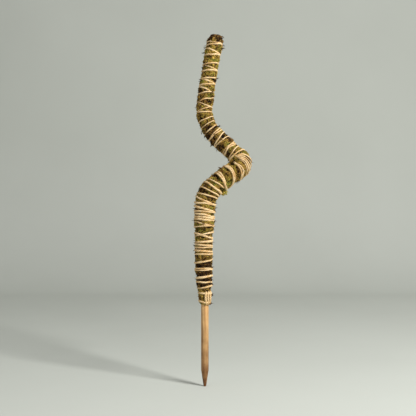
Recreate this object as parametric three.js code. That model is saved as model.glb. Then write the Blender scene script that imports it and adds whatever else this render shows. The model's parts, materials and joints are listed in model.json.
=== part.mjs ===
// Bendable moss pole: a coated wire core on a pushed-in stake, padded with moss and bound with twine.
// Millimetres, +Z up, the soil line at the origin. The pole is bent in the XZ plane, and +Y is its back.
import * as THREE from "three";

const CLEARANCE = 0.3; // between pieces that touch
const FULL_TURN = 2 * Math.PI;

// Line of the pole above the soil: straight runs, and bends with an angle in degrees, plus to the left
const LOWER_RUN = 143;
const LOWER_BEND_ANGLE = -53;
const LOWER_BEND_RADIUS = 45;
const LOWER_DIAGONAL = 44;
const ELBOW_ANGLE = 99;
const ELBOW_RADIUS = 11;
const UPPER_DIAGONAL = 51;
const UPPER_BEND_ANGLE = -53.5;
const UPPER_BEND_RADIUS = 60;
const UPPER_RUN = 113;
const UPPER_RUN_BEND_SHARE = 0.4; // of the upper run that lies below its bend

// How far the soft zone of each bend reaches to either side
const LOWER_RUN_BEND_REACH = 8;
const LOWER_BEND_REACH = 12;
const ELBOW_REACH = 18;
const UPPER_BEND_REACH = 11;
const UPPER_RUN_BEND_REACH = 7;

// Moss round the core
const MOSS_BELOW_SOIL = 12;
const FOOT_RADIUS = 9;
const SHIN_RADIUS = 13;
const SHIN_FROM = 0.3; // of the lower run
const SHIN_TO = 0.6;
const THICK_RADIUS = 15.6;
const SLIM_RADIUS = 12.6;
const TOP_RADIUS = 11.6;
const DRAWN_IN = 1.3; // how far the ends of a pad are pulled in by the binding
const MOSS_SIDES = 14;
const PAD_RINGS = 4;
const BEND_RINGS = 6;
const ELBOW_RINGS = 10;
const CREASE_GAP = 0.25; // each side of the fold inside the elbow
const TIP_DOME = 7;
const DOME_RINGS = 4;

// Core wire with its plastic sleeve and end cap
const WIRE_RADIUS = 2.5;
const SLEEVE_WALL = 0.8;
const SLEEVE_RADIUS = WIRE_RADIUS + CLEARANCE + SLEEVE_WALL;
const CORE_SIDES = 8;
const CORE_STEP = 6.5; // along a bend
const MOSS_OVER_CAP = 10;
const CAP_HEIGHT = 9;
const CAP_WALL = 1.2;

// Wooden stake that goes into the soil and holds the foot of the core
const STAKE_RADIUS = 6;
const STAKE_BURIED = 143;
const STAKE_POINT = 26;
const STAKE_FOOT_RADIUS = 2;
const CORE_SEAT_DEPTH = 30;
const STAKE_SIDES = 20;
const STAKE_PADS = 2; // pads of moss that sit on the stake

// Twine
const TWINE_RADIUS = 1.3;
const TWINE_SIDES = 5;
const TWINE_STEPS = 13; // in a turn
const TWINE_SAG = THICK_RADIUS * (1 - Math.cos(Math.PI / TWINE_STEPS)); // of the straight steps
const TWINE_MARGIN = 3; // bare moss past the first and last turns
const FAN_TURNS_BELOW = 5; // of the elbow, closer together near its outer side
const FAN_TURNS_ABOVE = 7;
const ELBOW_TURNS_BELOW = 2; // of the fan, on the elbow's soft zone
const FAN_REACH = 45;
const FAN_EASE = 1.4;
const FRONT_LEAN = 5; // how far a turn near the elbow runs ahead on its front
const LINE_SAMPLES = 36; // in a turn, to measure the twine

// Ways to lay the twine: how far its half turns climb, over the front and over the back by turns, as shares
const EVEN = [1, 1];
const LEVEL = [0, 1];
const SLANTED = [-4, 13, 1, 10];
const GATHERED = [1, 3, 4, 4, -0.5, 7.5, -2, 7, 5, 7];
const SPREAD = [2, 4, -1, 7];
const ZIGZAG = [0, 4, 6, 4, 0, 11];

// The line is a row of stretches, each with a constant curve
const radians = THREE.MathUtils.degToRad;
const stretches = [];
let lineEnd = { start: 0, x: 0, z: 0, heading: 0, curve: 0 };

function placeOn(stretch, along) {
  const gone = along - stretch.start;
  const heading = stretch.heading + stretch.curve * gone;
  if (stretch.curve === 0) {
    return {
      x: stretch.x - gone * Math.sin(heading),
      z: stretch.z + gone * Math.cos(heading),
      heading,
    };
  }
  return {
    x: stretch.x + (Math.cos(heading) - Math.cos(stretch.heading)) / stretch.curve,
    z: stretch.z + (Math.sin(heading) - Math.sin(stretch.heading)) / stretch.curve,
    heading,
  };
}

function addStretch(length, curve) {
  const stretch = { ...lineEnd, curve };
  stretches.push(stretch);
  const start = stretch.start + length;
  lineEnd = { ...placeOn(stretch, start), start, curve: 0 };
}

function addBend(turn, radius) {
  addStretch(Math.abs(radians(turn)) * radius, Math.sign(turn) / radius);
  return lineEnd.start - (Math.abs(radians(turn)) * radius) / 2;
}

addStretch(LOWER_RUN, 0);
const lowerBendAt = addBend(LOWER_BEND_ANGLE, LOWER_BEND_RADIUS);
addStretch(LOWER_DIAGONAL, 0);
const elbowAt = addBend(ELBOW_ANGLE, ELBOW_RADIUS);
addStretch(UPPER_DIAGONAL, 0);
const upperBendAt = addBend(UPPER_BEND_ANGLE, UPPER_BEND_RADIUS);
const upperRunAt = lineEnd.start;
const upperRunBendAt = upperRunAt + UPPER_RUN_BEND_SHARE * UPPER_RUN;
addStretch(UPPER_RUN, 0);
const poleTop = lineEnd.start;

function stretchAt(along) {
  return stretches.findLast((stretch) => stretch.start <= along) ?? stretches[0];
}

// A point beside the line: left is across the line in the bending plane, and back is along +Y
function beside(along, left, back) {
  const { x, z, heading } = placeOn(stretchAt(along), along);
  return new THREE.Vector3(x - left * Math.cos(heading), back, z - left * Math.sin(heading));
}

function isStraight(from, to) {
  return placeOn(stretchAt(from), from).heading === placeOn(stretchAt(to), to).heading;
}

// How far to the left of the line a solid can reach before it meets its other half in the elbow's fold
const elbowHalfTurn = radians(ELBOW_ANGLE) / 2;

function foldReach(along) {
  const pastBend = Math.abs(along - elbowAt) - elbowHalfTurn * ELBOW_RADIUS;
  return ELBOW_RADIUS + Math.max(0, pastBend) / Math.tan(elbowHalfTurn) - CREASE_GAP;
}

// A lathe solid whose height runs along the pole
function bendAlong(lathe) {
  const position = lathe.getAttribute("position");
  for (let i = 0; i < position.count; i++) {
    const along = position.getY(i);
    const left = Math.min(position.getX(i), foldReach(along));
    const point = beside(along, left, position.getZ(i));
    position.setXYZ(i, point.x, point.y, point.z);
  }
  return lathe;
}

function turned(outline, sides) {
  const points = outline.map(([radius, along]) => new THREE.Vector2(radius, along));
  return bendAlong(new THREE.LatheGeometry([...points, points[0]], sides));
}

// Pieces and their looks
const root = new THREE.Group();
root.name = "moss_pole";

const LOOKS = {
  moss: { color: 0x6b5a2a, roughness: 0.95, metalness: 0 },
  twine: { color: 0xd6b583, roughness: 0.85, metalness: 0 },
  wood: { color: 0xb98f5a, roughness: 0.7, metalness: 0 },
  wire: { color: 0xb8bcc0, roughness: 0.35, metalness: 1 },
  plastic: { color: 0x2c3a24, roughness: 0.5, metalness: 0 },
};

function add(name, geometry, look) {
  const mesh = new THREE.Mesh(geometry, new THREE.MeshStandardMaterial(LOOKS[look]));
  mesh.name = name;
  root.add(mesh);
}

// Bends: where each is, how far its soft zone reaches to either side, and the twine on that zone
const BENDS = [
  { name: "lower_run_bend", at: LOWER_RUN / 2, reach: LOWER_RUN_BEND_REACH, turns: 3, climbs: LEVEL },
  { name: "lower_bend", at: lowerBendAt, reach: LOWER_BEND_REACH, turns: 4, climbs: SPREAD },
  { name: "elbow", at: elbowAt, reach: ELBOW_REACH, turns: 6 },
  { name: "upper_bend", at: upperBendAt, reach: UPPER_BEND_REACH, turns: 3, climbs: EVEN },
  { name: "upper_run_bend", at: upperRunBendAt, reach: UPPER_RUN_BEND_REACH, turns: 2, climbs: LEVEL },
];
const ELBOW = BENDS.findIndex((bend) => bend.at === elbowAt);

// Lengths between the bends, with the number of moss pads and the twine on each
const LENGTHS = [
  { name: "base", pads: 3, turns: 7, climbs: SLANTED },
  { name: "lower_run", pads: 3, turns: 10, climbs: GATHERED },
  { name: "lower_diagonal", pads: 2, turns: 5 },
  { name: "upper_diagonal", pads: 2, turns: 8 },
  { name: "upper_run", pads: 2, turns: 6, climbs: ZIGZAG },
  { name: "tip", pads: 3, turns: 6, climbs: ZIGZAG },
];

LENGTHS.forEach((length, i) => {
  length.from = i === 0 ? -MOSS_BELOW_SOIL : BENDS[i - 1].at + BENDS[i - 1].reach;
  length.to = i === BENDS.length ? poleTop : BENDS[i].at - BENDS[i].reach;
});

// Radius of the moss before it is drawn in, eased from station to station
const STATIONS = [
  [-MOSS_BELOW_SOIL, FOOT_RADIUS],
  [SHIN_FROM * LOWER_RUN, SHIN_RADIUS],
  [SHIN_TO * LOWER_RUN, SHIN_RADIUS],
  [LOWER_RUN, THICK_RADIUS],
  [elbowAt, THICK_RADIUS],
  [elbowAt + UPPER_DIAGONAL / 2, SLIM_RADIUS],
  [upperBendAt, SLIM_RADIUS],
  [upperRunAt, TOP_RADIUS],
  [poleTop, TOP_RADIUS],
];

function fullRadius(along) {
  const next = STATIONS.findIndex(([at]) => at > along);
  if (next < 0) return TOP_RADIUS;
  const [before, small] = STATIONS[Math.max(0, next - 1)];
  const [after, large] = STATIONS[next];
  return THREE.MathUtils.lerp(small, large, THREE.MathUtils.smoothstep(along, before, after));
}

// Moss pads, listed from the foot up
const pads = [];
LENGTHS.forEach((length, i) => {
  const step = (length.to - length.from) / length.pads;
  for (let k = 0; k < length.pads; k++) {
    const from = length.from + k * step;
    pads.push({ name: `moss_${length.name}_${k + 1}`, from, to: from + step, rings: PAD_RINGS });
  }
  const bend = BENDS[i];
  if (bend) {
    const rings = i === ELBOW ? ELBOW_RINGS : BEND_RINGS;
    pads.push({ name: `moss_at_${bend.name}`, from: length.to, to: length.to + 2 * bend.reach, rings });
  }
});
const tipPad = pads.at(-1);
const stakeTop = pads[STAKE_PADS].from;
const capTop = poleTop - MOSS_OVER_CAP;
const coreTop = capTop - CAP_WALL - CLEARANCE;

function mossRadius(along) {
  const pad = pads.findLast((p) => p.from <= along) ?? pads[0];
  const offCentre = (2 * (along - pad.from)) / (pad.to - pad.from) - 1;
  return fullRadius(along) - DRAWN_IN * offCentre ** 2;
}

function boreRadius(pad) {
  if (pad.from < stakeTop) return STAKE_RADIUS + CLEARANCE;
  return SLEEVE_RADIUS + CLEARANCE;
}

function padOutline(pad) {
  const low = pad.from + CLEARANCE / 2;
  const high = pad.to - CLEARANCE / 2;
  const bore = boreRadius(pad);
  const rows = Array.from({ length: pad.rings + 1 }, (_, k) => low + ((high - low) * k) / pad.rings);
  const outside = rows.map((along) => [mossRadius(along), along]);
  const boreRows = isStraight(low, high) ? [low, high] : rows;
  const inside = boreRows.map((along) => [bore, along]).reverse();
  return [...outside, ...inside];
}

// The last pad closes over the cap with a dome
function tipOutline() {
  const low = tipPad.from + CLEARANCE / 2;
  const shoulder = poleTop - TIP_DOME;
  const bore = SLEEVE_RADIUS + CLEARANCE + CAP_WALL + CLEARANCE;
  const dome = Array.from({ length: DOME_RINGS }, (_, k) => {
    const angle = (Math.PI / 2) * (k / DOME_RINGS);
    return [TOP_RADIUS * Math.cos(angle), shoulder + TIP_DOME * Math.sin(angle)];
  });
  return [
    [mossRadius(low), low],
    [TOP_RADIUS, (low + shoulder) / 2],
    ...dome,
    [0, poleTop],
    [0, capTop + CLEARANCE],
    [bore, capTop + CLEARANCE],
    [bore, low],
  ];
}

for (const pad of pads) {
  const outline = pad === tipPad ? tipOutline() : padOutline(pad);
  add(pad.name, turned(outline, MOSS_SIDES), "moss");
}

// Core: rows of points close together in the bends and only at the ends of straight runs
const coreFoot = stakeTop - CLEARANCE / 2 - CORE_SEAT_DEPTH + CLEARANCE;

function coreRows(top) {
  const rows = [coreFoot];
  stretches.forEach((stretch, i) => {
    const end = stretches[i + 1]?.start ?? poleTop;
    const steps = stretch.curve === 0 ? 1 : Math.ceil((end - stretch.start) / CORE_STEP) + 2;
    for (let k = 0; k < steps; k++) rows.push(stretch.start + ((end - stretch.start) * k) / steps);
  });
  return [...rows.filter((along) => along >= coreFoot && along < top), top];
}

const sleeveTop = coreTop - CLEARANCE;
const wireOutside = coreRows(coreTop).map((along) => [WIRE_RADIUS, along]);
add("core_wire", turned([[0, coreFoot], ...wireOutside, [0, coreTop]], CORE_SIDES), "wire");

const sleeveOutside = coreRows(sleeveTop).map((along) => [SLEEVE_RADIUS, along]);
const sleeveInside = coreRows(sleeveTop).map((along) => [WIRE_RADIUS + CLEARANCE, along]);
add("core_sleeve", turned([...sleeveOutside, ...sleeveInside.reverse()], CORE_SIDES), "plastic");

const capBore = SLEEVE_RADIUS + CLEARANCE;
const capOutline = [
  [capBore + CAP_WALL, capTop - CAP_HEIGHT],
  [capBore + CAP_WALL, capTop - CAP_WALL],
  [capBore, capTop],
  [0, capTop],
  [0, capTop - CAP_WALL],
  [capBore, capTop - CAP_WALL],
  [capBore, capTop - CAP_HEIGHT],
];
add("core_cap", turned(capOutline, MOSS_SIDES), "plastic");

const stakeBore = SLEEVE_RADIUS + CLEARANCE;
const stakeHead = stakeTop - CLEARANCE / 2;
const stakeOutline = [
  [0, -STAKE_BURIED],
  [STAKE_FOOT_RADIUS, -STAKE_BURIED],
  [STAKE_RADIUS, STAKE_POINT - STAKE_BURIED],
  [STAKE_RADIUS, stakeHead],
  [stakeBore, stakeHead],
  [stakeBore, stakeHead - CORE_SEAT_DEPTH],
  [0, stakeHead - CORE_SEAT_DEPTH],
];
add("stake", turned(stakeOutline, STAKE_SIDES), "wood");

// Twine: one long winding, cut where the lengths meet the bends
// Turns are counted from the outer side of the elbow, and the cuts are a quarter turn off, on the back
const windings = [];
LENGTHS.forEach((length, i) => {
  windings.push({ ...length, name: `twine_${length.name}` });
  const bend = BENDS[i];
  if (bend) {
    const zone = { from: bend.at - bend.reach, to: bend.at + bend.reach };
    windings.push({ ...bend, ...zone, name: `twine_at_${bend.name}` });
  }
});
windings[0].from += TWINE_MARGIN;
windings.at(-1).to -= TIP_DOME + TWINE_MARGIN;

const toElbow = windings.slice(0, 2 * ELBOW + 1).reduce((sum, winding) => sum + winding.turns, 0);
let turnsMade = -toElbow - ELBOW_TURNS_BELOW - 0.25;
for (const winding of windings) {
  winding.first = turnsMade;
  turnsMade += winding.turns;
}

// Stops: where the twine crosses the right and the left side by turns, outside the fan
const fanStart = { turn: -FAN_TURNS_BELOW, along: elbowAt - FAN_REACH };
const fanEnd = { turn: FAN_TURNS_ABOVE, along: elbowAt + FAN_REACH };
const stops = [];

// A zone's climbs, scaled to fill it, with half of the last one before its first stop
// The first zone also gets a stop before it, and the stop after a zone is handed back
function addStops({ first, turns, from, to, climbs }) {
  const halves = Array.from({ length: 2 * turns }, (_, half) => climbs[half % climbs.length]);
  const scale = (to - from) / halves.reduce((sum, climb) => sum + climb, 0);
  let turn = first - 0.25;
  let along = from - (scale * halves.at(-1)) / 2;
  if (stops.length === 0) stops.push({ turn, along });
  for (const climb of [halves.at(-1), ...halves]) {
    turn += 0.5;
    along += scale * climb;
    stops.push({ turn, along });
  }
  return stops.pop();
}

// Even turns between two places
function addEvenStops(before, after) {
  for (let turn = Math.ceil(2 * before.turn) / 2; turn <= after.turn; turn += 0.5) {
    const along = THREE.MathUtils.mapLinear(turn, before.turn, after.turn, before.along, after.along);
    stops.push({ turn, along });
  }
}

let afterLast;
windings.forEach((winding, i) => {
  const start = { turn: winding.first, along: winding.from };
  const end = { turn: winding.first + winding.turns, along: winding.to };
  if (winding.climbs) afterLast = addStops(winding);
  else if (i === 2 * ELBOW) addEvenStops(start, fanStart);
  else if (i === 2 * ELBOW + 2) addEvenStops(fanEnd, end);
});
stops.push(afterLast);

// Eased by half a cosine from side to side, which looks straight from the front
function stopsAlong(turn) {
  const next = stops.findIndex((stop) => stop.turn > turn);
  const before = stops[next - 1];
  const after = stops[next];
  const part = (turn - before.turn) / (after.turn - before.turn);
  return THREE.MathUtils.lerp(before.along, after.along, (1 - Math.cos(Math.PI * part)) / 2);
}

// Inside the elbow the turns keep out of the fold: they cross the inner side before and after the corner
const twineReach = THICK_RADIUS + CLEARANCE + TWINE_SAG + 2 * TWINE_RADIUS;
const foldEnd =
  twineReach * Math.tan(elbowHalfTurn) - ELBOW_RADIUS * (Math.tan(elbowHalfTurn) - elbowHalfTurn);

function alongAt(turn, around) {
  const fan = turn < 0 ? turn / fanStart.turn : turn / fanEnd.turn;
  if (fan >= 1) return stopsAlong(turn);
  const outer = FAN_REACH * fan ** FAN_EASE;
  const inner = THREE.MathUtils.lerp(foldEnd, FAN_REACH, fan);
  const away = THREE.MathUtils.lerp(outer, inner, (1 + Math.cos(around)) / 2);
  const lean = FRONT_LEAN * Math.cos((fan * Math.PI) / 2);
  return elbowAt + Math.sign(turn) * away - lean * Math.sin(around);
}

class TwineLine extends THREE.Curve {
  constructor(first, last) {
    super();
    this.first = first;
    this.last = last;
    this.arcLengthDivisions = Math.round(LINE_SAMPLES * (last - first));
  }

  getPoint(part, target = new THREE.Vector3()) {
    const turn = THREE.MathUtils.lerp(this.first, this.last, part);
    const around = Math.PI * (1 + 2 * turn);
    const along = alongAt(turn, around);
    const radius = mossRadius(along) + CLEARANCE + TWINE_SAG + TWINE_RADIUS;
    return target.copy(beside(along, radius * Math.cos(around), radius * Math.sin(around)));
  }
}

// Least gap of a winding to itself, between points over half a turn apart
function leastGap(line, turns) {
  const points = line.getPoints(LINE_SAMPLES * turns);
  let least = Infinity;
  points.forEach((point, i) => {
    const others = points.slice(i + LINE_SAMPLES / 2);
    for (const other of others) least = Math.min(least, point.distanceTo(other));
  });
  return least - 2 * TWINE_RADIUS;
}

const twineSection = new THREE.Shape(
  Array.from({ length: TWINE_SIDES }, (_, k) => {
    const angle = (FULL_TURN * k) / TWINE_SIDES;
    return new THREE.Vector2(TWINE_RADIUS * Math.cos(angle), TWINE_RADIUS * Math.sin(angle));
  }),
);

for (const { name, first, turns } of windings) {
  const trim = CLEARANCE / 2 / (FULL_TURN * TOP_RADIUS); // in turns, so that cut ends stay apart
  const line = new TwineLine(first + trim, first + turns - trim);
  console.log(name, "least gap to itself", leastGap(line, turns).toFixed(2), "mm");
  const steps = TWINE_STEPS * turns;
  const tube = new THREE.ExtrudeGeometry(twineSection, { steps, bevelEnabled: false, extrudePath: line });
  add(name, tube, "twine");
}

export default root;
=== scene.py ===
"""Looks of a bendable moss pole: a stake, moss on a coated wire core, and twine wound round the moss.

Metres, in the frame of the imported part: +Z up, +Y to the back, the soil line at the origin. Moss, twine
and core are worked out on an unrolled pole, where a point has a distance along the pole's line, an angle
round it and a height over the moss, and are then laid on the bent line.
"""

import json
import math

import bpy
import numpy as np
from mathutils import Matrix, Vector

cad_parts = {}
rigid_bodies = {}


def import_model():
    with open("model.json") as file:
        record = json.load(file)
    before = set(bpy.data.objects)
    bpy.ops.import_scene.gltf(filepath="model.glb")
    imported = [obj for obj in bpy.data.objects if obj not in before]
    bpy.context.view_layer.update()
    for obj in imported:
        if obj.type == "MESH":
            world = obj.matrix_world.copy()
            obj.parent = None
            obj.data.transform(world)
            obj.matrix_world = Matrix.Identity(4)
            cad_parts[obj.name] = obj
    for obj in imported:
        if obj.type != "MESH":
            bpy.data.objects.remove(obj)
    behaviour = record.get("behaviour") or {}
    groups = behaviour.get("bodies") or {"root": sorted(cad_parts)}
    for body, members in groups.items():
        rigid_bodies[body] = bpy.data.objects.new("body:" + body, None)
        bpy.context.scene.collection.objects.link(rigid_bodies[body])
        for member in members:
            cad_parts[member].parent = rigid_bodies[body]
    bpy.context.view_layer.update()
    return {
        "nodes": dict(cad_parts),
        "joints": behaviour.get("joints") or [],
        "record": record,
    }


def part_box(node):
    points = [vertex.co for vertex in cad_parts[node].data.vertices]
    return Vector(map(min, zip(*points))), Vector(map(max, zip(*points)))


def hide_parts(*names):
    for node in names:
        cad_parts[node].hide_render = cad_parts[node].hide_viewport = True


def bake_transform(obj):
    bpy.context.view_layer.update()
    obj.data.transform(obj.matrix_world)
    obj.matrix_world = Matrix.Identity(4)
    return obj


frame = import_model()

MM = 0.001
FULL_TURN = 2 * math.pi
TINY = 1e-9
rng = np.random.default_rng(7)

# Camera: level, with the photograph's scale at the pole
IMAGE_SIDE = 416
PIXEL = 1.6 * MM
SENSOR_WIDTH = 36
CAMERA_DISTANCE = 1.166
CAMERA_RIGHT = 5 * MM
CAMERA_HEIGHT = 142 * MM
CAMERA_NEAREST = 10 * MM

# Line of the pole, as in the solids: straight runs and bends, turning to the left where the turn is plus
LOWER_RUN = 143 * MM
LOWER_TURN = math.radians(-53)
LOWER_BEND_RADIUS = 45 * MM
LOWER_DIAGONAL = 44 * MM
ELBOW_TURN = math.radians(99)
ELBOW_RADIUS = 11 * MM
UPPER_DIAGONAL = 51 * MM
UPPER_TURN = math.radians(-53.5)
UPPER_BEND_RADIUS = 60 * MM
UPPER_RUN = 113 * MM

TURNS = np.array([0, LOWER_TURN, 0, ELBOW_TURN, 0, UPPER_TURN, 0])
STRETCHES = np.array([
    LOWER_RUN,
    -LOWER_TURN * LOWER_BEND_RADIUS,
    LOWER_DIAGONAL,
    ELBOW_TURN * ELBOW_RADIUS,
    UPPER_DIAGONAL,
    -UPPER_TURN * UPPER_BEND_RADIUS,
    UPPER_RUN,
])
CURVES = TURNS / STRETCHES
HEADINGS = np.cumsum(TURNS) - TURNS
ENDS = np.cumsum(STRETCHES)
STARTS = ENDS - STRETCHES
MIDDLES = (STARTS + ENDS) / 2
LOWER_BEND_END = ENDS[1]
LOWER_DIAGONAL_END = ENDS[2]
ELBOW_START = STARTS[3]
ELBOW_AT = MIDDLES[3]
UPPER_DIAGONAL_END = ENDS[4]
UPPER_RUN_START = STARTS[6]
LINE_END = ENDS[6]

# Sections of the pole, one for each joint, as the distances where they start and end
SECTION_ENDS = MM * np.array([-12, 115, 195, 286, 364, 466])
SECTIONS = np.stack([SECTION_ENDS[:-1], SECTION_ENDS[1:]], axis=1)

# Settling of the moss: down at the top, to the right at the tip and to the left in the lower run
SETTLED = 1.6 * MM
LEAN = 4.2 * MM
BOW = 2 * MM
TOP = LINE_END - SETTLED

# Moss: mean radius at stations along the line, rounded at the foot and drawn in to a blunt dome at the tip
FOOT = -12 * MM
FOOT_ROUND = 4 * MM
STAKE_RADIUS = 6 * MM
TIP_ROUND = 12 * MM
TIP_TAPER = 0.35
TIP_DOME = 2.5 * MM
TIP_BLUNT = 0.7
STATIONS = MM * np.array([-12, 0, 24, 44, 90, 112, 160, 200, 238, 264, 288, 320, 468])
GIRTHS = MM * np.array([8.2, 9.0, 11.2, 13.3, 13.0, 14.7, 15.8, 15.2, 16.2, 12.5, 13.4, 11.8, 11.6])
USUAL_GIRTH = np.median(GIRTHS)

# Packed bed of the moss: its grid, its lumps as cell size and height, its holes, and its painted shade by
# height, darker where the bed lies low
RING_STEP = 0.7 * MM
ROWS = int(math.ceil((TOP - FOOT) / RING_STEP)) + 1
COLUMNS = 128
LUMPS = [(12 * MM, 0.9 * MM), (5.2 * MM, 0.9 * MM), (2.6 * MM, 0.6 * MM)]
SWELLING = 0.6 * MM
PRESSED = 1.3 * MM
# A shift, here and below, takes a random field from another part of its lattice
HOLE_SHIFT = 1
HOLE_SIZE = 3.4 * MM
HOLE_DEPTH = 1.7 * MM
HOLE_EDGE = 3
HOLE_LEVEL = 0.4
BED_INSET = 0.5 * MM
BED_SHADE = 0.4
BED_SHADE_REACH = 5 * MM

# Tint of the moss: random fields as shift, cell size and change, and patches as middle, reach and change,
# some of them painted light and painted shadow
USUAL_TINT = 0.42
TINT_FIELDS = [(3, 15 * MM, 0.3), (2, 3 * MM, 0.75)]
TINT_AND_PAINTED_LIGHT_PATCHES = [
    (14 * MM, 18 * MM, -0.35),
    (48 * MM, 24 * MM, -0.32),
    # Lighter and greener on the lower diagonal: partly greener moss, partly painted light where it faces up
    (LOWER_DIAGONAL_END - 20 * MM, 45 * MM, 0.12),
    # Darker round the upper bend: partly browner moss, partly a painted shadow of leaves
    (UPPER_DIAGONAL_END, 32 * MM, -0.3),
    # Darkest at the tip: a painted shadow of leaves
    (TOP, 15 * MM, -0.6),
]

# Fibres of the moss: how many, and their spread in a clump along the pole, round it and in bearing
TUFTS_PER_METRE = 6500
SPRIGS_IN_TUFT = 11
SPRIG_SPREAD = (1.2 * MM, 0.09, 0.7)
HOLES_LEFT_BARE = (0.2, 0.7)
STRAYS_PER_METRE = 330
STRAYS_IN_CLUMP = 4
STRAY_SPREAD = (0.7 * MM, 0.04, 0.5)
LOOSE_SPRIGS = 150
LOOSE_AT = LOWER_BEND_END + 2 * MM
LOOSE_SPREAD = (1.6 * MM, 0.12)

# A fibre: its four centres as shares of its length, their painted shade, darker at the root, and how it
# rises from the moss
FIBRE_PROGRESS = np.arange(4) / 3
FIBRE_SHADE = 0.55 + 0.45 * FIBRE_PROGRESS
FIBRE_ROOT = 0.6 * MM
FIBRE_ARCH = 0.5 * MM
FIBRE_RISE = 1.5
LEAST_RADIUS = 4 * MM
RAGGED = 0.5 * MM

# Twine: its width below and above the elbow, its plies, how it wanders, and how uneven it is
TWINE_WIDTH = 2.8 * MM
TWINE_WIDTH_ABOVE = 2.2 * MM
THINNING_START = ELBOW_START - 14 * MM
THINNING_REACH = 8 * MM
TWINE_FLATNESS = 0.85
TWINE_HEIGHT = 0.8 * MM
TWINE_COLUMNS = 12
STEPS_IN_TURN = 64
LEAST_STEPS = 3
PLIES = 3
PLY_PITCH = 11 * MM
PLY_SWELL = 0.09
WANDER = 0.9 * MM
WANDER_STEP = 10 * MM
UNEVEN_SHIFT = 1
UNEVEN = 0.25
UNEVEN_STEP = 8 * MM
STROKE_UNEVEN = 0.3
STROKE = 0.4 * FULL_TURN
HAIRS_IN_TURN = 12
HAIR_START = 0.8 * MM
HAIRS_BELOW_TOP = 1 * MM

# Binding, rows from the foot up in millimetres: turns, end, lean of the last turn, climbs of half turns
# Half turns run over the front and over the back by turns, and a lean carries a turn ahead in front
TWINE_START = FOOT + 3 * MM
BINDING = [
    (5, 44.4, 0, (3, 12, 0.5, 11.5, -4.2, 9.8, 1.1, 9.9, -4.3, 14.1)),
    (2, 68.9, 0, (-1.3, 17.3, -5.6, 14.1)),
    (5, 94, 0, (0, 3.7, 2.4, 4.3, 0, 2.4, 3.2, 5.4, -2.4, 6.1)),
    (2, 114.5, 0, (7.7, 1.9, -6.9, 17.8)),
    (2, 122, 0, (-2.4, 0.9, 7.7, 1.3)),
    (5, 149.5, 0, (3, 0.6, 2.9, -0.5, 5.5, 1.3, 2.9, -1.7, 9, 4.5)),
    (5, 193, 1, (-0.7, 0.4, 7.1, 9.2, -5.3, 12.8, -5, 13.5, -6, 17.5)),
    (1, 193.5, 1, (-13, 13.5)),
    (1, 200.5, 13, (0, 7)),
    (1, 219.5, 12, (7.5, 11.5)),
    (1, 228, 3, (8.5, 0)),
    (5, 250, 4, (22.5, -19.7, 21.2, -18.4, 19.6, -16.6, 17.6, -14.2, 14.4, -4.4)),
    (7, 303, 1, (3.5, 7.5, -5.4, 11.2, 2.6, 3, -4.6, 18)),
    (4, 339.4, 0, (-2.5, 12)),
    (4, 375.3, 0, (2.4, 7.8, -7.8, 6.7, 7.2, 10, -10, 19.6)),
    (5, 409, 0, (-6.9, 5, 6.5, 7.5, -5.5, 6, 5, 4, -4.5, 16)),
    (3, 435, 0, (-3.5, 4, 5.5, 5.5, -5.5, 19)),
    (4, 456, 0, (-4, 5, 6, 8.5, -4, 4.5, 1, 3)),
]
# A half turn that climbs less than this runs back over the one before, and is raised there
BACKWARD_CLIMB = -2 * MM
CROSSING_RISE = 1.2 * MM
# Second strands: from which turn to which they run beside the first, and how many millimetres from it
DOUBLED = [
    (4.9, 5.7, 2.6),
    (27.08, 27.7, 3.6),
    (27.9, 28.7, 2.2),
    (28.9, 29.7, -2.6),
    (36.9, 37.7, 3.0),
]
# A second strand leaves the first and joins it again over this much of a turn
JOINING_TURN = 0.3
# Ends of strands are tucked into the moss over this much of a turn
TUCK_TURN = 0.15
TUCK_DEPTH = 3 * MM
# Turns where the binding dips under the moss, and for how much of a turn
DIPS = [(26.04, 0.13), (49.42, 0.07)]
DIP_DEPTH = 3.5 * MM
# Row of the binding that fans out round the elbow, sunk into the moss on its inner side
FAN = 11
SUNK_DEPTH = 6 * MM
# How wide it is sunk there, how much narrower up the fan and how sharply, against the cosine of the turn
SUNK_SPAN = 0.35
SUNK_NARROWING = 0.4
SUNK_EDGE = 1.6
# How far the rest of the binding is sunk from the fan up
SUNK_ABOVE = 0.5 * MM
# Loose ends at the foot: angles round the pole in half turns, and how they rise, sway and are tucked in
TAIL_ANGLES = (1.38, 1.25, 1.1)
TAIL_LENGTH = 24 * MM
TAIL_HEIGHT = 1.4 * MM
TAIL_TUCK = 2 * MM
TAIL_SWAY = 0.25
TAIL_SWAY_RATE = 3

# Core, as in the solids: a wire in a plastic sleeve, from the bottom of the stake's bore to under the cap
CORE_FOOT = 8.5 * MM
CORE_TOP = LINE_END - 12 * MM
CORE_ROWS = 60
CORE_COLUMNS = 16
WIRE_RADIUS = 2.5 * MM
SLEEVE_BORE = 2.8 * MM
SLEEVE_RADIUS = 3.6 * MM

# Stage and light
FLOOR_DEPTH = 1.2
FLOOR_FRONT = -3.0
BACKDROP_CURVE = 0.6
BACKDROP_STEPS = 24
BACKDROP_HEIGHT = 3.0
HALF_WIDTH = 3.0
LAMP_TARGET = np.array([0.0, 0.0, 0.15])
SKY_STRENGTH = 0.36

# Colours, and sockets of the mix node, which has one of each name for each kind of data
WHITE = (255, 255, 255)
MIX_FACTOR = 0
MIX_FIRST = 6
MIX_SECOND = 7
MIX_RESULT = 2


def smoothstep(share):
    """Ease from 0 to 1: three times the square less twice the cube, of the share kept from 0 to 1."""
    share = np.clip(share, 0, 1)
    return share * share * (3 - 2 * share)


def unit(vectors):
    """Vectors divided by their lengths, with none taken as shorter than a tiny one."""
    return vectors / np.maximum(np.linalg.norm(vectors, axis=-1, keepdims=True), TINY)


def chord(length, heading, curve):
    """Step from the start of a stretch: its length on its middle heading, times the sine of half its turn
    over that half."""
    half_turn = curve * length / 2
    reach = length * np.sinc(half_turn / math.pi)
    return -reach * np.sin(heading + half_turn), reach * np.cos(heading + half_turn)


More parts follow.
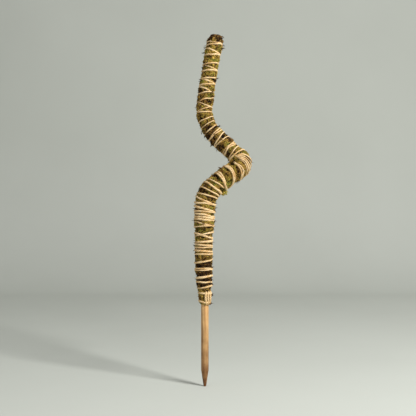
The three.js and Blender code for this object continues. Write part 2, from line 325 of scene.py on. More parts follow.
STEPS_X, STEPS_Z = chord(STRETCHES, HEADINGS, CURVES)
STARTS_X = np.cumsum(STEPS_X) - STEPS_X
STARTS_Z = np.cumsum(STEPS_Z) - STEPS_Z


def pole_line(along):
    """Place and heading of the line: the start of the stretch that holds each distance, plus its chord."""
    stretch = np.clip(np.searchsorted(STARTS, along, side="right") - 1, 0, None)
    gone = along - STARTS[stretch]
    step_x, step_z = chord(gone, HEADINGS[stretch], CURVES[stretch])
    heading = HEADINGS[stretch] + CURVES[stretch] * gone
    return STARTS_X[stretch] + step_x, STARTS_Z[stretch] + step_z, heading


def moss_radius(along):
    """Mean radius: eased from station to station, rounded off by quarter ellipses at the foot
    and on the blunt tip, which is drawn in by the square of the way into it."""
    station = np.clip(np.searchsorted(STATIONS, along, side="right") - 1, 0, len(STATIONS) - 2)
    share = (along - STATIONS[station]) / (STATIONS[station + 1] - STATIONS[station])
    girth = GIRTHS[station] + (GIRTHS[station + 1] - GIRTHS[station]) * smoothstep(share)
    into_foot = np.clip((FOOT + FOOT_ROUND - along) / FOOT_ROUND, 0, 1)
    into_tip = np.clip((along - TOP + TIP_ROUND) / TIP_ROUND, 0, 1)
    girth = STAKE_RADIUS + (girth - STAKE_RADIUS) * np.sqrt(1 - into_foot**2)
    into_dome = TIP_BLUNT * np.clip((along - TOP + TIP_DOME) / TIP_DOME, 0, 1)
    return girth * (1 - TIP_TAPER * into_tip**2) * np.sqrt(1 - into_dome**2)


def fold_reach(along):
    """How far to the left of the line the moss can reach before it meets its other half in the fold."""
    half_turn = ELBOW_TURN / 2
    past_bend = np.abs(along - ELBOW_AT) - half_turn * ELBOW_RADIUS
    return ELBOW_RADIUS + np.maximum(0, past_bend) / math.tan(half_turn)


def drift(along):
    """How far the moss has settled to the left of the line: by the sine of the way up the lower run, where
    it bows, and less the square of the way up the upper run, where it leans to the right."""
    up_lower_run = np.clip(along / LOWER_RUN, 0, 1)
    up_upper_run = np.clip((along - UPPER_RUN_START) / UPPER_RUN, 0, 1)
    return BOW * np.sin(math.pi * up_lower_run) - LEAN * up_upper_run**2


def on_pole(along, around, height, drifting=1):
    """Points laid on the bent pole: out from the line by the mean radius and the height, at an angle.

    The angle is 0 on the left, a quarter turn on the back, half a turn on the right. The left stops at the
    fold. Moss and twine drift off the line, and the core doesn't.
    """
    along, around, height = np.broadcast_arrays(along, around, height)
    x, z, heading = pole_line(along)
    out = moss_radius(along) + height
    left = np.minimum(out * np.cos(around), fold_reach(along))
    left = left + drifting * drift(along)
    return np.stack([x - left * np.cos(heading), out * np.sin(around), z - left * np.sin(heading)], axis=-1)


def straight_out(along, around):
    """Directions straight out from the pole's line, at an angle round it."""
    along, around = np.broadcast_arrays(along, around)
    heading = pole_line(along)[2]
    left = np.cos(around)
    return np.stack([-left * np.cos(heading), np.sin(around), -left * np.sin(heading)], axis=-1)


def unrolled(along, around):
    """Place on a straight pole of the usual girth, for patterns that follow the pole through its bends."""
    along, around = np.broadcast_arrays(along, around)
    return np.stack([USUAL_GIRTH * np.cos(around), USUAL_GIRTH * np.sin(around), along], axis=-1)


# Random values for the corners of a lattice, and the keys that spread its three axes over them
LATTICE_SIZE = 30011
LATTICE = rng.uniform(-1, 1, LATTICE_SIZE)
LATTICE_KEYS = np.array([1, 173, 29929])


def lattice_noise(places, cell):
    """Smooth random field: values drawn for the corners of a lattice, eased from corner to corner."""
    scaled = places / cell
    corner = np.floor(scaled).astype(int)
    share = smoothstep(scaled - corner)
    field = np.zeros(places.shape[:-1])
    for step in np.ndindex(2, 2, 2):
        value = LATTICE[(corner + step) @ LATTICE_KEYS % LATTICE_SIZE]
        field += value * np.prod(np.where(step, share, 1 - share), axis=-1)
    return field


def lumps(along, around):
    """Handfuls, tufts and sprigs of moss: three random fields, each finer than the one before."""
    place = unrolled(along, around)
    return sum(height * lattice_noise(place, cell) for cell, height in LUMPS)


def holes(along, around):
    """Dark holes between the clumps of moss: 1 where a random field of their size is low, 0 elsewhere."""
    place = unrolled(along, around) + HOLE_SHIFT
    return smoothstep(-HOLE_EDGE * lattice_noise(place, HOLE_SIZE) - HOLE_LEVEL)


def moss_tint_and_painted_light(along, around):
    """Colour of the moss, from 0 for dark brown to 1 for green, with painted light and shadow in some
    patches: its random fields and its patches, summed.

    A patch is a Gaussian of the distance along the pole.
    """
    place = unrolled(along, around)
    tint = USUAL_TINT
    for shift, cell, change in TINT_FIELDS:
        tint = tint + change * lattice_noise(place + shift, cell)
    for middle, reach, change in TINT_AND_PAINTED_LIGHT_PATCHES:
        tint = tint + change * np.exp(-(((along - middle) / reach) ** 2))
    return tint


def binding_stops():
    """Where the twine crosses the right and the left side by turns, from the foot up, and its lean there.

    In each row the climbs of the half turns are repeated, summed, and scaled to reach the row's end.
    """
    stops, leans = [TWINE_START], [0.0]
    for turns, end, lean, climbs in BINDING:
        rising = np.cumsum(np.resize(climbs, 2 * turns))
        stops += list(stops[-1] + (end * MM - stops[-1]) * rising / rising[-1])
        leans += list(np.linspace(leans[-1], lean * MM, 2 * turns + 1)[1:])
    return np.array(stops), np.array(leans)


STOPS, LEANS = binding_stops()
LAST_TURN = (len(STOPS) - 1) / 2
BACKWARD = np.diff(STOPS) < BACKWARD_CLIMB
FAN_START = sum(row[0] for row in BINDING[:FAN])
FAN_END = FAN_START + BINDING[FAN][0]


def half_turn_of(turn):
    """Number of the half turn that each turn lies in, and how far it has come in that half turn."""
    half = np.clip((2 * turn).astype(int), 0, len(STOPS) - 2)
    return half, 2 * turn - half


def bound_along(turn):
    """Distance along the pole of the twine at each turn from the foot, with whole turns on the right.

    Between the stops on the two sides it is eased by half a cosine, which looks straight from the front.
    The lean carries it ahead over the front and back over the back, by the sine of the turn.
    """
    half, gone = half_turn_of(turn)
    share = (1 - np.cos(math.pi * gone)) / 2
    lean = np.interp(2 * turn, np.arange(len(LEANS)), LEANS)
    straight = STOPS[half] + (STOPS[half + 1] - STOPS[half]) * share
    return straight + lean * np.sin(FULL_TURN * turn)


def bound_height(turn):
    """Height of the twine: raised where a half turn runs back over the one before, and sunk in places.

    It is sunk deep on the fan's inner side, over a span that narrows up the fan, a little above the fan,
    and by a Gaussian of the turn at each dip.
    """
    half, gone = half_turn_of(turn)
    over = BACKWARD[half] * np.sin(math.pi * gone) ** 2
    in_fan = (turn > FAN_START) & (turn < FAN_END)
    up_fan = (turn - FAN_START) / (FAN_END - FAN_START)
    inner = smoothstep(SUNK_SPAN - SUNK_NARROWING * up_fan - SUNK_EDGE * np.cos(FULL_TURN * turn))
    dips = sum(np.exp(-(((turn - middle) / reach) ** 2)) for middle, reach in DIPS)
    sunk = SUNK_DEPTH * inner * in_fan + SUNK_ABOVE * smoothstep(turn - FAN_END) + DIP_DEPTH * dips
    return TWINE_HEIGHT + CROSSING_RISE * over - sunk


def twine_run(first, last, offset=0.0):
    """A strand that follows the binding from one turn to another, with its ends tucked into the moss."""
    turn = np.linspace(first, last, int((last - first) * STEPS_IN_TURN))
    around = math.pi + FULL_TURN * turn
    to_end = np.minimum(turn - first, last - turn)
    along = bound_along(turn) + offset * smoothstep(to_end / JOINING_TURN)
    along = along + WANDER * lattice_noise(unrolled(along, around), WANDER_STEP)
    height = bound_height(turn) - TUCK_DEPTH * (1 - smoothstep(to_end / TUCK_TURN))
    return along, around, height


def foot_tail(around):
    """A loose end that runs up out of the soil, swaying by a sine, and dips in over its last fifth."""
    share = np.linspace(0, 1, STEPS_IN_TURN // 2)
    along = FOOT + TAIL_LENGTH * share
    height = TAIL_HEIGHT * np.sin(math.pi * share) ** 0.5 - TAIL_TUCK * smoothstep(5 * share - 4)
    return along, around + TAIL_SWAY * np.sin(TAIL_SWAY_RATE * share), height


TWINE_RUNS = [twine_run(0, LAST_TURN)]
TWINE_RUNS += [twine_run(first, last, offset * MM) for first, last, offset in DOUBLED]
TWINE_RUNS += [foot_tail(around * math.pi) for around in TAIL_ANGLES]


def grid_cell(along, around):
    """Row and column of the nearest place on the grid of the moss bed."""
    row = np.clip(np.round((along - FOOT) / RING_STEP).astype(int), 0, ROWS - 1)
    column = np.round(around / FULL_TURN * COLUMNS).astype(int) % COLUMNS
    return row, column


def ways_round(count, step):
    """Distances from the first of a ring of places, the short way round."""
    place = np.arange(count)
    return np.minimum(place, count - place) * step


def binding_cover():
    """Share of each place on the grid of the moss bed that lies under twine.

    The twine's samples are counted in the grid's cells, and the counts are spread by a Gaussian with a
    third of the twine's width as its deviation, as a product of Fourier transforms. The usual count under
    the twine is then taken as 1.
    """
    along, around, height = (np.concatenate(values) for values in zip(*TWINE_RUNS))
    cell = grid_cell(along, around)
    counts = np.zeros((ROWS, COLUMNS))
    np.add.at(counts, cell, height > 0)
    from_row = ways_round(ROWS, RING_STEP)[:, None]
    from_column = ways_round(COLUMNS, FULL_TURN * USUAL_GIRTH / COLUMNS)[None, :]
    spread = np.exp(-(from_row**2 + from_column**2) / (2 * (TWINE_WIDTH / 3) ** 2))
    cover = np.fft.irfft2(np.fft.rfft2(counts) * np.fft.rfft2(spread), s=counts.shape)
    return np.clip(cover / np.median(cover[cell]), 0, 1)


COVER = binding_cover()


def moss_height(along, around):
    """Height of the moss over its mean radius: its lumps and holes, pressed in under the twine."""
    open_height = SWELLING + lumps(along, around) - HOLE_DEPTH * holes(along, around)
    return open_height - PRESSED * COVER[grid_cell(along, around)]


def tube_walls(low, rows, columns):
    """Two triangles at each low point of a grid, to the next row and column, both counted round."""
    above = (low + columns) % (rows * columns)
    beside = (low + 1) % columns - low % columns
    return np.concatenate([
        np.stack([low, above, above + beside], axis=1),
        np.stack([low, above + beside, low + beside], axis=1),
    ])


def closed_tube(rings):
    """Points and triangles of a tube through rings of points, with a fan to the middle of each end ring."""
    rows, columns = rings.shape[:2]
    points = np.concatenate([rings.reshape(-1, 3), rings[[0, -1]].mean(axis=1)])
    first = np.arange(columns)
    last = first + (rows - 1) * columns
    foot, head = len(points) - 2, len(points) - 1
    triangles = np.concatenate([
        tube_walls(np.arange((rows - 1) * columns), rows, columns),
        np.stack([0 * first + foot, first, np.roll(first, -1)], axis=1),
        np.stack([last, 0 * last + head, np.roll(last, -1)], axis=1),
    ])
    return points, triangles


def end_values(values):
    """Values at the points of a tube's rings, and the means of its two end rings for its end points."""
    flat = values.reshape(-1, *values.shape[2:])
    return np.concatenate([flat, values[[0, -1]].mean(axis=1)])


def hollow_tube(outside, inside):
    """Points and triangles of a bored tube: rings up its outside, down its inside and back to the first."""
    rings = np.concatenate([outside, inside[::-1]])
    rows, columns = rings.shape[:2]
    return rings.reshape(-1, 3), tube_walls(np.arange(rows * columns), rows, columns)


# Triangles of a thin fibre: point 0 is its root, 1 to 3 stand round it, 4 to 6 further on, and 7 is its end
SPINDLE_SIDES = ((1, 2), (2, 3), (3, 1))
SPINDLE = np.concatenate([
    [(0, here, beside) for here, beside in SPINDLE_SIDES],
    [(here, here + 3, beside + 3) for here, beside in SPINDLE_SIDES],
    [(here, beside + 3, beside) for here, beside in SPINDLE_SIDES],
    [(here + 3, 7, beside + 3) for here, beside in SPINDLE_SIDES],
])
# Which of the fibre's four centres each point belongs to
SPINDLE_CENTRES = [0, 1, 1, 1, 2, 2, 2, 3]


def spindles(centres, outward, girth):
    """Points and triangles of thin three-sided fibres through four centres each, pointed at both ends.

    At the two inner centres three points stand round the fibre, a third of a turn apart, at its girth.
    """
    tangent = unit(centres[:, 2:] - centres[:, :2])
    side = unit(np.cross(tangent, outward[:, 1:3]))
    up = np.cross(side, tangent)
    angle = FULL_TURN / 3 * np.arange(3)[None, None, :, None]
    ring = side[:, :, None] * np.cos(angle) + up[:, :, None] * np.sin(angle)
    rings = centres[:, 1:3, None] + ring * girth[:, None, None, None]
    number = len(centres)
    points = np.concatenate([centres[:, :1], rings.reshape(number, 6, 3), centres[:, 3:]], axis=1)
    triangles = SPINDLE[None] + len(SPINDLE_CENTRES) * np.arange(number)[:, None, None]
    return points.reshape(-1, 3), triangles.reshape(-1, 3)


def spindle_values(values):
    """Values given for the four centres of each fibre, spread to its eight points."""
    return values[:, SPINDLE_CENTRES].reshape(-1, *values.shape[2:])


def add_piece(name, points, triangles, material, **attributes):
    """A mesh object from arrays of points and triangles, with a number or a vector at each point for each
    attribute."""
    mesh = bpy.data.meshes.new(name)
    mesh.vertices.add(len(points))
    mesh.vertices.foreach_set("co", points.astype(np.float32).ravel())
    mesh.loops.add(triangles.size)
    mesh.loops.foreach_set("vertex_index", triangles.astype(np.int32).ravel())
    mesh.polygons.add(len(triangles))
    mesh.polygons.foreach_set("loop_start", np.arange(0, triangles.size, 3, dtype=np.int32))
    mesh.polygons.foreach_set("use_smooth", np.ones(len(triangles), dtype=bool))
    for key, values in attributes.items():
        is_vector = values.ndim == 2
        layer = mesh.attributes.new(key, "FLOAT_VECTOR" if is_vector else "FLOAT", "POINT")
        layer.data.foreach_set("vector" if is_vector else "value", values.astype(np.float32).ravel())
    mesh.update(calc_edges=True)
    mesh.materials.append(material)
    piece = bpy.data.objects.new(name, mesh)
    bpy.context.scene.collection.objects.link(piece)
    return piece


def joined(parts):
    """Several lists of points, triangles and attributes as one, with the triangles counted on."""
    starts = np.cumsum([0] + [len(points) for points, _, _ in parts])
    points = np.concatenate([points for points, _, _ in parts])
    triangles = np.concatenate([triangles + start for (_, triangles, _), start in zip(parts, starts)])
    values = {key: np.concatenate([part[2][key] for part in parts]) for key in parts[0][2]}
    return points, triangles, values


def moss_bed(section, material):
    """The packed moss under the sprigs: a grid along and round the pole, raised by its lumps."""
    first, last = np.round((SECTIONS[section] - FOOT) / RING_STEP).astype(int)
    along = np.minimum(FOOT + RING_STEP * np.arange(first, last + 1), TOP)[:, None]
    around = (FULL_TURN / COLUMNS * np.arange(COLUMNS))[None, :]
    height = moss_height(along, around)
    points, triangles = closed_tube(on_pole(along, around, height - BED_INSET))
    return add_piece(
        f"moss_bed_{section + 1}", points, triangles, material,
        lay=end_values(unrolled(along, around)),
        tint=end_values(moss_tint_and_painted_light(along, around)),
        # Painted shade: the bed is darker where it lies low, in its holes and pressed under the twine
        shade=end_values(smoothstep(BED_SHADE + height / BED_SHADE_REACH)),
    )


def fibres(along, around, bearing, length, curl, lift, girth, tint):
    """Points, triangles and material values of fibres that start on the moss and run over it on a bearing.

    Each makes three steps of a third of its length, and its bearing turns by its curl from step to step. It
    starts a little under the surface and rises to its lift by a power of its progress.
    """
    turned = bearing[:, None] + curl[:, None] * np.arange(3)
    radius = np.maximum(moss_radius(along), LEAST_RADIUS)
    step = length[:, None] / 3
    ahead = np.cumsum(step * np.cos(turned), axis=1)
    aside = np.cumsum(step * np.sin(turned), axis=1) / radius[:, None]
    along = np.clip(along[:, None] + np.pad(ahead, ((0, 0), (1, 0))), FOOT, TOP + RAGGED)
    around = around[:, None] + np.pad(aside, ((0, 0), (1, 0)))
    height = moss_height(along, around) - FIBRE_ROOT + FIBRE_ARCH * np.sin(math.pi * FIBRE_PROGRESS)
    height = height + lift[:, None] * FIBRE_PROGRESS**FIBRE_RISE
    centres = on_pole(along, around, height)
    outward = straight_out(along, around)
    points, triangles = spindles(centres, outward, girth)
    values = {
        "lay": unrolled(along, around),
        "tint": tint[:, None] + 0 * height,
        # Painted shade: each fibre is darker towards its root, down among the others
        "shade": FIBRE_SHADE + 0 * height,
    }
    return points, triangles, {key: spindle_values(value) for key, value in values.items()}


def in_clumps(low, high, per_metre, members, spreads):
    """Random distances, angles and bearings of fibres in clumps: even draws for the clumps, and a normal
    one with its spread for each member."""
    clumps = int(per_metre * (high - low))
    clump = np.repeat(np.arange(clumps), members)
    ranges = ((low, high), (0, FULL_TURN), (0, FULL_TURN))
    return [
        rng.uniform(*ends, clumps)[clump] + rng.normal(0, spread, len(clump))
        for ends, spread in zip(ranges, spreads)
    ]


def sprigs_between(low, high):
    """Sprigs of moss in tufts that share a bearing, left out where the moss has a hole."""
    along, around, bearing = in_clumps(low, high, TUFTS_PER_METRE, SPRIGS_IN_TUFT, SPRIG_SPREAD)
    kept = holes(along, around) < rng.uniform(*HOLES_LEFT_BARE, len(along))
    number = np.count_nonzero(kept)
    along = np.clip(along[kept], low, high)
    return fibres(
        along,
        around[kept],
        bearing[kept],
        length=rng.uniform(3, 7, number) * MM,
        curl=rng.normal(0, 0.35, number),
        lift=rng.gamma(1.5, 0.5, number) * MM,
        girth=rng.uniform(0.18, 0.38, number) * MM,
        tint=moss_tint_and_painted_light(along, around[kept]) + rng.normal(0, 0.06, number),
    )


def strays_between(low, high):
    """Stray dark fibres that stand off the moss in small clumps."""
    along, around, bearing = in_clumps(low, high, STRAYS_PER_METRE, STRAYS_IN_CLUMP, STRAY_SPREAD)
    number = len(along)
    return fibres(
        np.clip(along, low, high),
        around,
        bearing,
        length=rng.uniform(2.5, 5, number) * MM,
        curl=rng.normal(0, 0.35, number),
        lift=rng.uniform(2.5, 6.5, number) * MM,
        girth=rng.uniform(0.3, 0.55, number) * MM,
        tint=rng.uniform(-0.2, 0.1, number),
    )


def loose_tuft():
    """A tuft of moss that has come loose inside the lower bend."""
    number = LOOSE_SPRIGS
    return fibres(
        rng.normal(LOOSE_AT, LOOSE_SPREAD[0], number),
        rng.normal(math.pi, LOOSE_SPREAD[1], number),
        rng.uniform(0, FULL_TURN, number),
        length=rng.uniform(2.5, 5, number) * MM,
        curl=rng.normal(0, 0.5, number),
        lift=rng.uniform(4, 8.5, number) * MM,
        girth=rng.uniform(0.25, 0.5, number) * MM,
        tint=rng.uniform(0.45, 0.85, number),
    )


def moss_sprigs(section, material):
    """All the loose fibres of a section of moss."""
    low, high = SECTIONS[section]
    parts = [sprigs_between(low, high), strays_between(low, high)]
    if low < LOWER_BEND_END < high:
        parts.append(loose_tuft())
    points, triangles, values = joined(parts)
    return add_piece(f"moss_sprigs_{section + 1}", points, triangles, material, **values)


def twine_width(along):
    """Width of the twine, eased from the one below the elbow to the one from there up."""
    above = smoothstep((along - THINNING_START) / THINNING_REACH)
    return TWINE_WIDTH + (TWINE_WIDTH_ABOVE - TWINE_WIDTH) * above


def twine_strand(along, around, height):
    """Twine laid along a run: flat oval rings, whose radius swells once for each ply as the plies turn.

    Its width varies by a random field of its place and by another of the angle, so from stroke to stroke.
    """
    centres = on_pole(along, around, height)
    outward = straight_out(along, around)
    tangent = unit(np.gradient(centres, axis=0))
    side = unit(np.cross(tangent, outward))
    up = np.cross(side, tangent)
    travelled = np.cumsum(np.linalg.norm(np.diff(centres, axis=0, prepend=centres[:1]), axis=1))
    angle = (FULL_TURN / TWINE_COLUMNS * np.arange(TWINE_COLUMNS))[None, :]
    twist = angle - FULL_TURN * travelled[:, None] / PLY_PITCH
    ply = np.cos(PLIES * twist)
    uneven = 1 + UNEVEN * lattice_noise(unrolled(along, around) + UNEVEN_SHIFT, UNEVEN_STEP)
    uneven = uneven + STROKE_UNEVEN * lattice_noise(around[:, None] * np.array([0, 0, 1]), STROKE)
    radius = (twine_width(along) / 2 * uneven)[:, None] * (1 + PLY_SWELL * ply)
    across = (radius * np.cos(angle))[..., None]
    above = (TWINE_FLATNESS * radius * np.sin(angle))[..., None]
    rings = centres[:, None] + across * side[:, None] + above * up[:, None]
    lay = np.stack([np.cos(twist), np.sin(twist), travelled[:, None] / TWINE_WIDTH + 0 * twist], axis=-1)
    points, triangles = closed_tube(rings)
    # Painted shade in the grooves between the plies, strongest where a ring dips most
    return points, triangles, {"lay": end_values(lay), "groove": end_values(0.5 - 0.5 * ply)}


def twine_fuzz(along, around, height, number):
    """Loose hairs of the twine: thin fibres that start on it, run along it and stand off at their ends."""
    start = rng.integers(0, len(along), number)
    bearing = math.pi / 2 + rng.normal(0, 0.5, number) + math.pi * rng.integers(0, 2, number)
    length = rng.uniform(2.5, 6, number) * MM
    lift = rng.uniform(0.2, 1.6, number) * MM
    run = length[:, None] * FIBRE_PROGRESS
    there = along[start, None] + run * np.cos(bearing)[:, None]
    turned = around[start, None] + run * np.sin(bearing)[:, None] / moss_radius(along[start])[:, None]
    over = height[start, None] + HAIR_START + lift[:, None] * FIBRE_PROGRESS**2
    there = np.clip(there, FOOT, TOP - HAIRS_BELOW_TOP)
    centres = on_pole(there, turned, over)
    outward = straight_out(there, turned)
    points, triangles = spindles(centres, outward, rng.uniform(0.05, 0.1, number) * MM)
    lay = np.zeros((*over.shape, 3))
    lay[..., 2] = along[start, None] / TWINE_WIDTH + FIBRE_PROGRESS
    return points, triangles, {"lay": spindle_values(lay), "groove": spindle_values(np.zeros_like(over))}


def twine_section(section, material):
    """The part of every run of twine that lies in a section, with its hairs."""
    parts = []
    for along, around, height in TWINE_RUNS:
        first, last = np.searchsorted(np.maximum.accumulate(along), SECTIONS[section])
        last = min(last + 1, len(along))
        if last - first > LEAST_STEPS:
            piece = (along[first:last], around[first:last], height[first:last])
            parts.append(twine_strand(*piece))
            parts.append(twine_fuzz(*piece, HAIRS_IN_TURN * (last - first) // STEPS_IN_TURN))
    points, triangles, values = joined(parts)
    return add_piece(f"twine_{section + 1}", points, triangles, material, **values)


def core_rings(section, radius):
    """Rings of points round the line of the pole, from one end of a section to the other."""
    low, high = np.clip(SECTIONS[section], CORE_FOOT, CORE_TOP)
    along = np.linspace(low, high, CORE_ROWS)[:, None]
    around = (FULL_TURN / CORE_COLUMNS * np.arange(CORE_COLUMNS))[None, :]
    return on_pole(along, around, radius - moss_radius(along), drifting=0)


def core_sleeve(section, material):
    """The plastic sleeve of the core, open at both ends."""
    points, triangles = hollow_tube(core_rings(section, SLEEVE_RADIUS), core_rings(section, SLEEVE_BORE))
    return add_piece(f"sleeve_{section + 1}", points, triangles, material)


def core_wire(section, material):
    """The wire in the sleeve."""
    points, triangles = closed_tube(core_rings(section, WIRE_RADIUS))
    return add_piece(f"wire_{section + 1}", points, triangles, material)


def linear(red, green, blue):
    """A colour written in the usual 0 to 255 steps, as the linear values that materials take."""
    steps = np.array([red, green, blue]) / 255
    return (*np.where(steps > 0.04045, ((steps + 0.055) / 1.055) ** 2.4, steps / 12.92), 1.0)


def feed(tree, socket, value):
    """Gives an input socket a link, where the value is another node's output, or else the value itself."""
    if isinstance(value, bpy.types.NodeSocket):
        tree.links.new(value, socket)
    else:
        socket.default_value = value


def add_node(tree, kind, inputs=None, **settings):
    """A node with its settings and its inputs."""
    made = tree.nodes.new(kind)
    for key, value in settings.items():
        setattr(made, key, value)
    for key, value in (inputs or {}).items():
        feed(tree, made.inputs[key], value)
    return made


def add_ramp(tree, factor, stops):
    """A colour ramp through stops of a place and a colour."""
    ramp = add_node(tree, "ShaderNodeValToRGB", {"Fac": factor})
    elements = ramp.color_ramp.elements
    while len(elements) < len(stops):
        elements.new(0.5)
    for element, (place, colour) in zip(elements, stops):
        element.position = place
        element.color = linear(*colour)
    return ramp.outputs["Color"]


def add_math(tree, operation, *values, clamp=False):
    """One sum on two or three values."""
    inputs = dict(enumerate(values))
    return add_node(tree, "ShaderNodeMath", inputs, operation=operation, use_clamp=clamp).outputs[0]


def add_product(tree, factor, first, second):
    """A colour multiplied by another, as far as a factor says."""
    inputs = {MIX_FACTOR: factor, MIX_FIRST: first, MIX_SECOND: second}
    mix = add_node(tree, "ShaderNodeMix", inputs, data_type="RGBA", blend_type="MULTIPLY")
    return mix.outputs[MIX_RESULT]


def add_noise(tree, place, scale, detail):
    """A random pattern at a place."""
    inputs = {"Vector": place, "Scale": scale, "Detail": detail}
    return add_node(tree, "ShaderNodeTexNoise", inputs).outputs["Fac"]


def object_place(tree):
    """Place in the object's own frame."""
    return add_node(tree, "ShaderNodeTexCoord").outputs["Object"]


def attribute(tree, name, output="Fac"):
    """A value that the mesh holds at its points."""
    return add_node(tree, "ShaderNodeAttribute", attribute_name=name).outputs[output]


def new_group(name, inputs, outputs):
    """An empty node group with named inputs and outputs, each a name and a kind of socket."""
    tree = bpy.data.node_groups.new(name, "ShaderNodeTree")
    for key, kind in inputs:
        tree.interface.new_socket(key, in_out="INPUT", socket_type=kind)
    for key, kind in outputs:
        tree.interface.new_socket(key, in_out="OUTPUT", socket_type=kind)
    return tree, tree.nodes.new("NodeGroupInput").outputs, tree.nodes.new("NodeGroupOutput").inputs


def make_mottle():
    """Node group for blotches: a broad random pattern, and a fine one at four times its count."""
    tree, given, taken = new_group(
        "mottle",
        [("Place", "NodeSocketVector"), ("Count", "NodeSocketFloat")],
        [("Broad", "NodeSocketFloat"), ("Fine", "NodeSocketFloat")],
    )
    finer = add_math(tree, "MULTIPLY", given["Count"], 4.0)
    feed(tree, taken["Broad"], add_noise(tree, given["Place"], given["Count"], 3.0))
    feed(tree, taken["Fine"], add_noise(tree, given["Place"], finer, 4.0))
    return tree


def make_fibre():
    """Node group for fibre: a random pattern drawn out along the third axis of its place."""
    tree, given, taken = new_group(
        "fibre",
        [("Place", "NodeSocketVector"), ("Across", "NodeSocketFloat"), ("Along", "NodeSocketFloat")],
        [("Streak", "NodeSocketFloat"), ("Hair", "NodeSocketFloat")],
    )
    counts = {"X": given["Across"], "Y": given["Across"], "Z": given["Along"]}
    stretch = add_node(tree, "ShaderNodeCombineXYZ", counts).outputs[0]
    inputs = {0: given["Place"], 1: stretch}
    drawn = add_node(tree, "ShaderNodeVectorMath", inputs, operation="MULTIPLY").outputs[0]
    feed(tree, taken["Streak"], add_noise(tree, drawn, 1.0, 3.0))
    feed(tree, taken["Hair"], add_noise(tree, drawn, 3.5, 2.0))
    return tree


MOTTLE = make_mottle()
FIBRE = make_fibre()


def use_group(tree, group, **inputs):
    """A group placed in a material with its own values."""
    return add_node(tree, "ShaderNodeGroup", inputs, node_tree=group).outputs


def new_material(name, roughness, specular=0.3):
    """An empty material, with its node tree and its shader."""
    material = bpy.data.materials.new(name)
    material.use_nodes = True
    tree = material.node_tree
    shader = tree.nodes["Principled BSDF"]
    shader.inputs["Roughness"].default_value = roughness
    shader.inputs["Specular IOR Level"].default_value = specular
    return material, tree, shader


def bump(tree, shader, height, strength, distance):
    """Relief on the shader's normal from a height pattern."""
    inputs = {"Height": height, "Strength": strength, "Distance": distance}
    feed(tree, shader.inputs["Normal"], add_node(tree, "ShaderNodeBump", inputs).outputs["Normal"])


def moss_material():
    """Moss, from dark brown through ochre to green by its tint, and dark with painted shade where its shade
    value is low.
    """
    material, tree, shader = new_material("moss", 0.9, 0.15)
    mottle = use_group(tree, MOTTLE, Place=attribute(tree, "lay", "Vector"), Count=300.0)
    shift = add_math(tree, "MULTIPLY_ADD", mottle["Broad"], 0.5, -0.25)
    # The tint carries the painted light and shadow of the patches along the pole
    tint = add_math(tree, "ADD", attribute(tree, "tint"), shift, clamp=True)
    colour = add_ramp(tree, tint, [
        (0.0, (62, 40, 18)),
        (0.2, (132, 94, 44)),
        (0.38, (198, 158, 80)),
        (0.52, (230, 196, 96)),
        (0.66, (192, 172, 74)),
        (0.84, (128, 136, 50)),
        (1.0, (160, 162, 72)),
    ])
    # Painted shade: dark in holes and low places and at the roots of the sprigs
    shade = add_ramp(tree, attribute(tree, "shade"), [
        (0.0, (40, 30, 20)),
        (0.6, (180, 172, 160)),
        (1.0, WHITE),
    ])
    feed(tree, shader.inputs["Base Color"], add_product(tree, 1.0, colour, shade))
    bump(tree, shader, mottle["Fine"], 0.6, 1.0 * MM)
    return material


def twine_material():
    """Pale plant-fibre twine: streaks along its plies, painted shade in the grooves between them, browner
    in places.
    """
    material, tree, shader = new_material("twine", 0.8, 0.25)
    lay = attribute(tree, "lay", "Vector")
    fibre = use_group(tree, FIBRE, Place=lay, Across=4.0, Along=0.35)
    colour = add_ramp(tree, fibre["Streak"], [
        (0.3, (190, 156, 110)),
        (0.5, (228, 200, 152)),
        (0.7, (246, 228, 188)),
    ])
    mottle = use_group(tree, MOTTLE, Place=lay, Count=0.12)
    brown = add_ramp(tree, mottle["Broad"], [(0.35, (226, 206, 174)), (0.55, WHITE)])
    # Painted shade in the grooves between the plies
    groove = add_ramp(tree, attribute(tree, "groove"), [(0.4, WHITE), (1.0, (206, 184, 156))])
    colour = add_product(tree, 1.0, colour, brown)
    feed(tree, shader.inputs["Base Color"], add_product(tree, 1.0, colour, groove))
    bump(tree, shader, fibre["Hair"], 0.6, 0.4 * MM)
    return material


def wood_material():
    """Pale softwood with grain along the stake, stained by soil towards its point."""
    material, tree, shader = new_material("stake_wood", 0.65, 0.3)
    place = object_place(tree)
    fibre = use_group(tree, FIBRE, Place=place, Across=420.0, Along=14.0)
    colour = add_ramp(tree, fibre["Streak"], [
        (0.3, (150, 106, 62)),
        (0.5, (196, 152, 98)),
        (0.7, (216, 178, 124)),
    ])
    mottle = use_group(tree, MOTTLE, Place=place, Count=60.0)
    height = add_node(tree, "ShaderNodeSeparateXYZ", {"Vector": place}).outputs["Z"]
    depth = add_math(tree, "MULTIPLY_ADD", height, -7.0, -0.55)
    stain = add_math(tree, "ADD", depth, mottle["Broad"], clamp=True)
    feed(tree, shader.inputs["Base Color"], add_product(tree, stain, colour, linear(132, 108, 84)))
    bump(tree, shader, fibre["Hair"], 0.4, 0.5 * MM)
    return material


def core_material(name, dark, light, roughness, metallic):
    """A finish of the core, mottled between two colours."""
    material, tree, shader = new_material(name, roughness)
    shader.inputs["Metallic"].default_value = metallic
    mottle = use_group(tree, MOTTLE, Place=object_place(tree), Count=220.0)
    colour = add_ramp(tree, mottle["Fine"], [(0.35, dark), (0.65, light)])
    feed(tree, shader.inputs["Base Color"], colour)
    bump(tree, shader, mottle["Fine"], 0.2, 0.2 * MM)
    return material


def backdrop_material():
    """Pale matt paper, a little uneven."""
    material, tree, shader = new_material("pale_backdrop", 0.9, 0.1)
    mottle = use_group(tree, MOTTLE, Place=object_place(tree), Count=2.0)
    colour = add_ramp(tree, mottle["Broad"], [(0.3, (186, 189, 181)), (0.7, (191, 194, 186))])
    feed(tree, shader.inputs["Base Color"], colour)
    return material


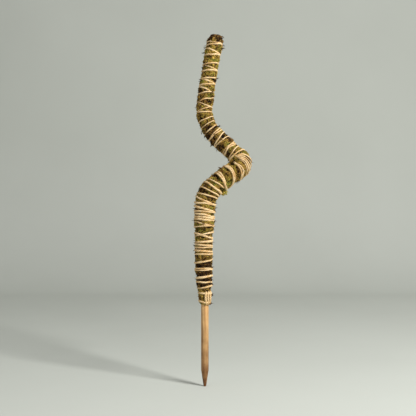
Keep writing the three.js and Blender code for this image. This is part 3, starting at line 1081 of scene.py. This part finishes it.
def dress_pole():
    """Moss, twine and core in one section for each joint, laid on the bent line of the pole, with the
    solids that they stand for hidden.
    """
    moss, twine = moss_material(), twine_material()
    sleeve = core_material("sleeve_plastic", (38, 50, 30), (50, 64, 40), 0.5, 0.0)
    wire = core_material("core_metal", (178, 182, 184), (196, 200, 202), 0.35, 1.0)
    bodies = frame["record"]["behaviour"]["bodies"]
    for section, joint in enumerate(frame["joints"]):
        nodes = list(bodies[joint["parent"]])
        if section == len(frame["joints"]) - 1:
            nodes += bodies[joint["child"]]
        made = [
            (moss_bed(section, moss), "moss", [node for node in nodes if node.startswith("moss_")]),
            (moss_sprigs(section, moss), "moss", []),
            (twine_section(section, twine), "twine", [node for node in nodes if node.startswith("twine_")]),
            (core_sleeve(section, sleeve), "plastic", ["core_sleeve"]),
            (core_wire(section, wire), "wire", ["core_wire"]),
        ]
        for piece, slot, replaced in made:
            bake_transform(piece)
            if replaced:
                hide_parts(*replaced)


def finish_solids():
    """Procedural finishes on the solids that show as they are."""
    finishes = {
        "stake": wood_material(),
        "core_cap": core_material("cap_plastic", (34, 44, 28), (46, 58, 36), 0.5, 0.0),
    }
    for name, material in finishes.items():
        frame["nodes"][name].data.materials.clear()
        frame["nodes"][name].data.materials.append(material)


def add_camera():
    """Level camera in front of the pole, with the lens that makes a pixel as wide as in the photograph."""
    data = bpy.data.cameras.new("camera")
    data.sensor_width = SENSOR_WIDTH
    data.lens = SENSOR_WIDTH * CAMERA_DISTANCE / (IMAGE_SIDE * PIXEL)
    data.clip_start = CAMERA_NEAREST
    camera = bpy.data.objects.new("camera", data)
    camera.location = (CAMERA_RIGHT, -CAMERA_DISTANCE, CAMERA_HEIGHT)
    camera.rotation_euler = (math.pi / 2, 0, 0)
    bpy.context.scene.collection.objects.link(camera)
    bpy.context.scene.camera = camera


def add_lamp(name, place, side, power):
    """A square soft lamp that faces the pole."""
    data = bpy.data.lights.new(name, "AREA")
    data.size = side
    data.energy = power
    lamp = bpy.data.objects.new(name, data)
    right, back, up = np.array(place) - LAMP_TARGET
    lamp.location = place
    lamp.rotation_euler = (math.atan2(math.hypot(right, back), up), 0, math.atan2(right, -back))
    bpy.context.scene.collection.objects.link(lamp)


def add_stage():
    """A pale floor that curves up into a backdrop: a line of points carried sideways."""
    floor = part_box("stake")[0].z
    curve = np.linspace(0, math.pi / 2, BACKDROP_STEPS)
    bend_back = FLOOR_DEPTH + BACKDROP_CURVE * np.sin(curve)
    bend_up = BACKDROP_CURVE - BACKDROP_CURVE * np.cos(curve)
    back = np.concatenate([[FLOOR_FRONT], bend_back, [FLOOR_DEPTH + BACKDROP_CURVE]])
    up = np.concatenate([[0.0], bend_up, [BACKDROP_HEIGHT]]) + floor
    points = np.concatenate([
        np.stack([0 * back + side, back, up], axis=1) for side in (-HALF_WIDTH, HALF_WIDTH)
    ])
    low = np.arange(len(back) - 1)
    across = low + len(back)
    triangles = np.concatenate([
        np.stack([low, across, across + 1], axis=1),
        np.stack([low, across + 1, low + 1], axis=1),
    ])
    material = backdrop_material()
    add_piece("backdrop", points, triangles, material)


def add_light():
    """Soft light: a key lamp from the front right, a weak fill from the left and an even pale sky."""
    scene = bpy.context.scene
    scene.view_settings.view_transform = "Standard"
    scene.world = bpy.data.worlds.new("studio")
    scene.world.use_nodes = True
    sky = scene.world.node_tree.nodes["Background"]
    sky.inputs["Color"].default_value = (1.0, 1.0, 1.0, 1.0)
    sky.inputs["Strength"].default_value = SKY_STRENGTH
    add_lamp("key", place=(1.4, -1.2, 1.3), side=0.6, power=70)
    add_lamp("fill", place=(-1.2, -1.2, 0.5), side=1.2, power=6)


add_camera()
add_light()
add_stage()
dress_pole()
finish_solids()
